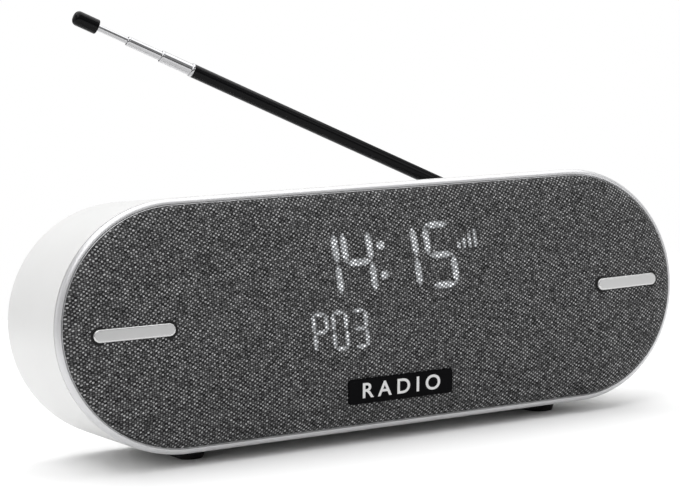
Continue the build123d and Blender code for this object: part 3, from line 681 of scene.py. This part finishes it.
class RADIO_OT_bezel(bpy.types.Operator):
    """Form the silver bezel: rounded band, fine groove and inner lip"""
    bl_idname = "radio.form_bezel"
    bl_label = "Form the bezel"

    def execute(self, context):
        sizes = context.scene.radio_sizes
        band, back = sizes.band_width, sizes.band_back
        root = BODY_R - band
        groove = root - sizes.groove_width
        rise = back - 0.2 * MM
        seam, seam_depth, bulge = 0.6 * MM, 1.0 * MM, 1.1
        nose = []
        for k in range(15):
            turn = radians(89.9 * k / 14)
            nose.append((root + band * cos(turn) ** bulge, back - seam - (rise - seam) * sin(turn) ** bulge))
        case_side, skirt = BODY_R - seam_depth, BODY_R - 2.6 * MM
        lip_middle, cloth_side = (groove + CLOTH_R) / 2, CLOTH_R + 0.02 * MM
        shelf, hook = CLOTH_R - 2.9 * MM, CLOTH_R - 1.3 * MM
        shelf_front, shelf_back = CLOTH_BACK + 0.1 * MM, CLOTH_BACK + 1.9 * MM
        profile = [(case_side, back), (case_side, back - seam), *nose,
                   (root - 0.03 * MM, sizes.groove_depth), (groove, sizes.groove_depth),
                   (groove - 0.02 * MM, 0.25 * MM), (groove - 0.1 * MM, 0.08 * MM), (lip_middle, 0.0),
                   (CLOTH_R + 0.16 * MM, 0.12 * MM), (cloth_side, 0.4 * MM), (cloth_side, CLOTH_BACK),
                   (shelf, shelf_front), (shelf, shelf_back), (hook, shelf_back),
                   (hook, BEZEL_BACK), (skirt, BEZEL_BACK), (skirt, back)]
        bezel = sweep_outline("silver_bezel", profile, 50)
        dress(bezel, "bezel_silver", "cabinet", context)
        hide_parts("bezel_ring")
        return {"FINISHED"}


class RADIO_OT_bar_shadow_seats(bpy.types.Operator):
    """Lay black seats round the trim bars: a painted shadow line where the bars shade the cloth"""
    bl_idname = "radio.lay_bar_seats"
    bl_label = "Lay the bar seats"

    def execute(self, context):
        sizes = context.scene.radio_sizes
        half = (sizes.bar_length - sizes.bar_height) / 2
        radius = sizes.bar_height / 2
        inner, outer, sunk = radius - 0.4 * MM, radius + sizes.shadow_seat_margin, -0.3 * MM
        steps = [(inner, sunk), (inner, 0.1 * MM), (radius + 0.2 * MM, 0.12 * MM),
                 (radius + sizes.shadow_seat_margin * 0.8, 0.08 * MM), (outer, -0.02 * MM), (outer, sunk)]
        ring = arc((half, 0), 1, -90, 90, 20) + arc((-half, 0), 1, 90, 270, 20)
        for side in ("left", "right"):
            low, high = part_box("trim_bar_" + side)
            middle = (low.x + high.x) / 2
            points = []
            for x, z in ring:
                end = half if x > 0 else -half
                for reach, proud in steps:
                    points.append(on_front(middle + end + (x - end) * reach, z * reach, proud))
            # painted shadow: this near-black ring round the bar is the bar's shade on the cloth, put in as a
            # dark sheet
            shadow_seat = new_piece("bar_shadow_seat_" + side, points, grid_faces(len(ring), len(steps), True, True))
            dress(shadow_seat, "inner_black", "cabinet", context)
        return {"FINISHED"}


class RADIO_OT_badge(bpy.types.Operator):
    """Set plain raised lettering on the badge"""
    bl_idname = "radio.letter_badge"
    bl_label = "Letter the badge"

    def execute(self, context):
        sizes, colours = context.scene.radio_sizes, context.scene.radio_colours
        text = bpy.data.curves.new("badge_letters", "FONT")
        text.body = "RADIO"
        text.size = sizes.letter_height
        text.align_x = "CENTER"
        text.align_y = "CENTER"
        text.extrude = 0.06 * MM
        text.offset = 0.14 * MM         # bolder by this much on each side
        text.space_character = 1.5
        text.resolution_u = 6
        shape = bpy.data.objects.new("badge_letters", text)
        mesh = bpy.data.meshes.new_from_object(shape)
        bpy.data.objects.remove(shape)
        drop = sizes.badge_drop
        slope = asin(min(1, DOME_RISE * drop / CLOTH_R ** 2 / sqrt(1 - (drop / CLOTH_R) ** 2)))
        face = on_front(0, -drop, sizes.badge_proud)
        mesh.transform(Matrix.Translation(face) @ Matrix.Rotation(radians(90) + slope, 4, "X"))
        letters = bpy.data.objects.new("badge_letters", mesh)
        context.scene.collection.objects.link(letters)
        dress(letters, "badge_black", "cabinet", context, printed("badge_print", colours.lettering))
        return {"FINISHED"}


# ---------------------------------------------------------------- display, from the middle of the front
LIT = {"0": "abcdef", "1": "bc", "2": "abdeg", "3": "abcdg", "4": "bcfg", "5": "acdfg", "6": "acdefg",
       "7": "abc", "8": "abcdefg", "9": "abcdfg", "P": "abefg"}
SEGMENT_ENDS = {"a": (0, 1), "b": (1, 3), "c": (3, 5), "d": (4, 5), "e": (2, 4), "f": (0, 2), "g": (2, 3)}
CLOCK_CENTRES = (-30.5 * MM, -15.4 * MM, 5.0 * MM, 21.8 * MM)
CLOCK_UP = 19.0 * MM
NOTE_CENTRES = (-34.5 * MM, -26.0 * MM, -17.2 * MM)
NOTE_UP = -7.5 * MM
COLON_ACROSS = -4.9 * MM
COLON_RISE = 6.0 * MM
COLON_R = 1.6 * MM
COLON_HALF_RUN = 0.1 * MM           # a dot is drawn as a very short stroke
LEAN = sin(radians(3))
SIGNAL_CORNER = (30.5 * MM, 21.5 * MM)
SIGNAL_PITCH = 2.6 * MM
SIGNAL_FIRST = 1.2 * MM
SIGNAL_GROWTH = 1.7 * MM
SIGNAL_HALF_WIDTH = 0.6 * MM
SEGMENT_GAP = 0.8                   # length taken off a segment, in stroke widths
SEGMENT_TIP = 0.35                  # width of a segment's tip, as a share of its full width
SEGMENT_TAPER = 0.5                 # how fast a segment widens from its tip


def figure_strokes(character, centre, up, width, height, stroke):
    """The lit segments of one figure: their two ends, half width and the length taken off."""
    half_width, half_height = (width - stroke) / 2, (height - stroke) / 2
    corners = [(centre + x - LEAN * z, up + z) for z in (half_height, 0, -half_height)
               for x in (-half_width, half_width)]
    ends = [SEGMENT_ENDS[name] for name in LIT[character]]
    return [(*corners[start], *corners[end], stroke / 2, SEGMENT_GAP * stroke) for start, end in ends]


def display_strokes(sizes, display):
    """Everything lit on the display, as straight strokes."""
    strokes = []
    for character, centre in zip(display.clock, CLOCK_CENTRES):
        strokes += figure_strokes(character, centre, CLOCK_UP, sizes.digit_width, sizes.digit_height,
                                  sizes.digit_stroke)
    for character, centre in zip(display.note, NOTE_CENTRES):
        strokes += figure_strokes(character, centre, NOTE_UP, sizes.note_width, sizes.note_height,
                                  sizes.note_stroke)
    for side in (-1, 1):
        x, z = COLON_ACROSS - side * COLON_RISE * LEAN, CLOCK_UP + side * COLON_RISE
        strokes.append((x - COLON_HALF_RUN, z, x + COLON_HALF_RUN, z, COLON_R, 0.0))
    for k in range(display.bars):
        x, z = SIGNAL_CORNER[0] + k * SIGNAL_PITCH, SIGNAL_CORNER[1]
        strokes.append((x, z, x, z + SIGNAL_FIRST + SIGNAL_GROWTH * k, SIGNAL_HALF_WIDTH, 0.0))
    return strokes


def steps_over(first, second, margin, step):
    """Whole grid steps from a margin before two places to a margin after them."""
    low, high = min(first, second) - margin, max(first, second) + margin
    return range(round(low / step), round(high / step) + 1)


def stroke_glow(x, z, stroke, spread):
    """Brightness at a place from one stroke: 1 on it, fading over the spread."""
    x0, z0, x1, z1, half, shorten = stroke
    run, rise = x1 - x0, z1 - z0
    size = hypot(run, rise)
    along = ((x - x0) * run + (z - z0) * rise) / size
    beside = abs((x - x0) * rise - (z - z0) * run) / size
    cut = shorten / 2
    end = max(cut - along, along - size + cut, 0.0)
    inside = max(min(along, size - along) - cut, 0.0)
    taper = min(SEGMENT_TIP + SEGMENT_TAPER * inside / half, 1.0) if shorten else 1.0
    away = hypot(end, beside) - half * taper
    return min(max(0.5 - away / spread, 0.0), 1.0)


class RADIO_OT_display(bpy.types.Operator):
    """Light the clock, the second row and the signal mark through the cloth"""
    bl_idname = "radio.light_display"
    bl_label = "Light the display"

    def execute(self, context):
        sizes, display = context.scene.radio_sizes, context.scene.radio_display
        strokes = display_strokes(sizes, display)
        spread, step = sizes.glow_spread, sizes.glow_grid
        proud, thick = 0.06 * MM, 0.12 * MM
        glow = {}
        for stroke in strokes:
            x0, z0, x1, z1, half, _ = stroke
            margin = half + spread
            for i in steps_over(x0, x1, margin, step):
                for j in steps_over(z0, z1, margin, step):
                    value = stroke_glow(i * step, j * step, stroke, spread)
                    glow[i, j] = max(glow.get((i, j), 0.0), value)
        faces, used = [], {}
        for i, j in sorted(glow):
            corners = [(i, j), (i + 1, j), (i + 1, j + 1), (i, j + 1)]
            if all(corner in glow for corner in corners) and any(glow[corner] > 0 for corner in corners):
                faces.append([used.setdefault(corner, len(used)) for corner in corners])
        points = [on_front(i * step, j * step, proud) for i, j in used]
        mesh = bpy.data.meshes.new("lit_figures")
        mesh.from_pydata([tuple(point) for point in points], [], faces)
        brightness = mesh.attributes.new("glow", "FLOAT", "POINT")
        brightness.data.foreach_set("value", [glow[corner] for corner in used])
        mesh.shade_smooth()
        figures = bpy.data.objects.new("lit_figures", mesh)
        context.scene.collection.objects.link(figures)
        thicken(figures, thick)
        dress(figures, "display_light", "cabinet", context)
        return {"FINISHED"}


# ---------------------------------------------------------------- keys and aerial
def key_marks():
    """The printed mark of each key, as (lines, closed lines) in millimetres."""
    ring = arc((0, -0.15), 1.7, 55, -235)
    waves = [arc((0, -1.0), radius, 40, 140, 12) for radius in (1.2, 2.1, 3.0)]
    reaches = (2.1, 2.1 * 0.45)
    star = [(reaches[k % 2] * sin(pi * k / 5), reaches[k % 2] * cos(pi * k / 5)) for k in range(10)]
    triangle = [(1.1, 1.4), (-1.1, 0), (1.1, -1.4)]
    return {
        "power": ([ring, [(0, 0.4), (0, 2.1)]], []),
        "mode": (waves, []),
        "preset": ([], [star]),
        "menu": ([[(-1.8, z), (1.8, z)] for z in (-1.2, 0, 1.2)], []),
        "previous": ([[(-1.7, -1.4), (-1.7, 1.4)]], [triangle]),
        "next": ([[(1.7, -1.4), (1.7, 1.4)]], [[(-x, z) for x, z in triangle]]),
        "volume_down": ([[(-1.7, 0), (1.7, 0)]], []),
        "volume_up": ([[(-1.7, 0), (1.7, 0)], [(0, -1.7), (0, -0.25)], [(0, 0.25), (0, 1.7)]], []),
    }


class RADIO_OT_keys(bpy.types.Operator):
    """Print a plain mark on each push-button"""
    bl_idname = "radio.print_keys"
    bl_label = "Print the keys"

    def execute(self, context):
        sizes, colours = context.scene.radio_sizes, context.scene.radio_colours
        ink = printed("key_print", colours.mark)
        dish_r, dish_depth = 30 * MM, 0.4 * MM
        lift, thick = 0.03 * MM, 0.05 * MM
        marks = key_marks()
        for node in BUTTONS:
            name = node.removeprefix("button_")
            low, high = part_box(node)
            middle = (low + high) / 2
            points, faces = [], []
            lines, loops = marks[name]
            for line, closed in [(line, False) for line in lines] + [(loop, True) for loop in loops]:
                outline, quads = ribbon([(x * MM, z * MM) for x, z in line], sizes.mark_stroke, closed)
                faces += [tuple(index + len(points) for index in quad) for quad in quads]
                points += outline
            base = high.z - dish_depth + lift
            on_key = [(middle.x + point.x, middle.y + point.y, base + point.length_squared / 2 / dish_r)
                      for point in points]
            mark = new_piece("key_mark_" + name, on_key, faces)
            thicken(mark, thick)
            body = frame["nodes"][node]["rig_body"]
            dress(mark, "button_white", body, context, ink)
        return {"FINISHED"}


def mast_reach(node):
    """How far a node of the aerial reaches along the mast from its foot, and its largest radius."""
    places = [vertex.co - MAST_FOOT for vertex in frame["nodes"][node].data.vertices]
    along = [place.dot(MAST_WAY) for place in places]
    radii = [(place - MAST_WAY * reach).length for place, reach in zip(places, along)]
    return max(along), max(radii)


class RADIO_OT_aerial(bpy.types.Operator):
    """Roll a bright ring on the end of each aerial tube"""
    bl_idname = "radio.roll_aerial_rings"
    bl_label = "Roll the aerial rings"

    def execute(self, context):
        width = context.scene.radio_sizes.ring_width
        flush, slack = 0.03 * MM, 0.09 * MM
        tubes = ("aerial_sleeve", "aerial_lower_tube", "aerial_upper_tube", "aerial_rod")
        for outer, inner in zip(tubes, tubes[1:]):
            end, radius = mast_reach(outer)
            bore = mast_reach(inner)[1] + slack
            lip = radius + flush
            profile = [(end - width, radius - 0.02 * MM), (end - width * 0.8, lip), (end - width * 0.2, lip),
                       (end + 0.1 * MM, radius - 0.1 * MM), (end + 0.25 * MM, bore + 0.1 * MM),
                       (end + 0.2 * MM, bore), (end - 0.1 * MM, bore)]
            ring = lathe(outer + "_ring", profile, MAST_FOOT, MAST_WAY)
            dress(ring, "aerial_chrome", frame["nodes"][outer]["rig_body"], context)
        return {"FINISHED"}


class RADIO_OT_finishes(bpy.types.Operator):
    """Give every carried-over piece of the frame its finish"""
    bl_idname = "radio.finish_frame"
    bl_label = "Finish the frame's pieces"

    def execute(self, context):
        for node, piece in frame["nodes"].items():
            if node not in SLOTS:
                raise RuntimeError(f"{node} has no material slot in the record")
            piece.data.materials.clear()
            piece.data.materials.append(finish(SLOTS[node], context))
        return {"FINISHED"}


# ---------------------------------------------------------------- add-on
OPERATORS = (RADIO_OT_camera, RADIO_OT_stage, RADIO_OT_finishes, RADIO_OT_cloth, RADIO_OT_bezel,
             RADIO_OT_bar_shadow_seats, RADIO_OT_badge, RADIO_OT_display, RADIO_OT_keys, RADIO_OT_aerial)


class RADIO_PT_panel(bpy.types.Panel):
    """The radio's steps, in the sidebar of the 3D view"""
    bl_idname = "RADIO_PT_panel"
    bl_label = "Tabletop radio"
    bl_space_type = "VIEW_3D"
    bl_region_type = "UI"
    bl_category = "Radio"

    def draw(self, context):
        for operator in OPERATORS:
            self.layout.operator(operator.bl_idname)
        for group in (context.scene.radio_sizes, context.scene.radio_colours, context.scene.radio_display):
            column = self.layout.column()
            for name in group.__annotations__:
                column.prop(group, name)


CLASSES = (RadioSizes, RadioColours, RadioDisplay, *OPERATORS, RADIO_PT_panel)


def register():
    """Add the classes and the scene's settings."""
    for each in CLASSES:
        bpy.utils.register_class(each)
    bpy.types.Scene.radio_sizes = PointerProperty(type=RadioSizes)
    bpy.types.Scene.radio_colours = PointerProperty(type=RadioColours)
    bpy.types.Scene.radio_display = PointerProperty(type=RadioDisplay)


def unregister():
    """Take the scene's settings and the classes away again."""
    del bpy.types.Scene.radio_display
    del bpy.types.Scene.radio_colours
    del bpy.types.Scene.radio_sizes
    for each in reversed(CLASSES):
        bpy.utils.unregister_class(each)


def main():
    """Run every step once."""
    register()
    for operator in OPERATORS:
        group, name = operator.bl_idname.split(".")
        getattr(getattr(bpy.ops, group), name)()


if __name__ == "__main__":
    main()
